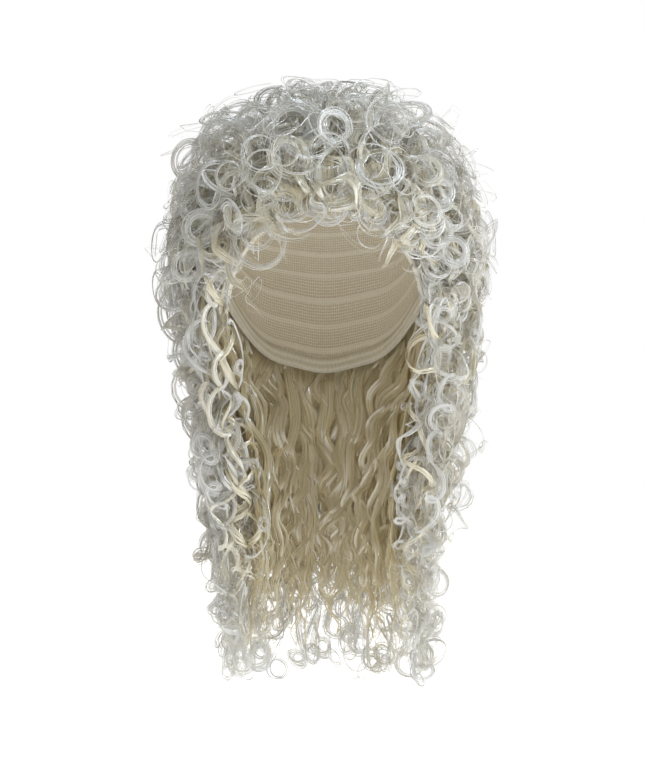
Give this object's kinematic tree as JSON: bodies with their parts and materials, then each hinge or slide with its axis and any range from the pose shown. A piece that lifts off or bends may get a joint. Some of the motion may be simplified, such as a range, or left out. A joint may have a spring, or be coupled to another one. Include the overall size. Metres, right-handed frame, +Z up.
{
  "type": "curly wig",
  "caption": "Long curly wig in its worn form: a hollow cap with an inner edge band, a fringe and short curls over the crown, and ringlets hanging round the face and neck.",
  "frame": {"origin": "the crown of the head, on the cap's inner face", "axes": "+Z up along the head, wearer faces -Y, +X towards the wearer's left"},
  "size_m": [0.228, 0.254, 0.4151],
  "materials": {
    "hair": "glossy synthetic hair, pale cream blonde",
    "cap_net": "matt stretch net sewn with rows of weft",
    "elastic": "matt woven elastic"
  },
  "bodies": {
    "root": {"cap": "cap_net", "edge_band": "elastic", "crown_curls": "hair", "fringe_curls": "hair", "left_temple_curls": "hair", "right_temple_curls": "hair", "back_curls": "hair", "left_face_ringlets": "hair", "right_face_ringlets": "hair", "left_side_ringlets": "hair", "right_side_ringlets": "hair", "left_nape_ringlets": "hair", "right_nape_ringlets": "hair"}
  },
  "joints": []
}
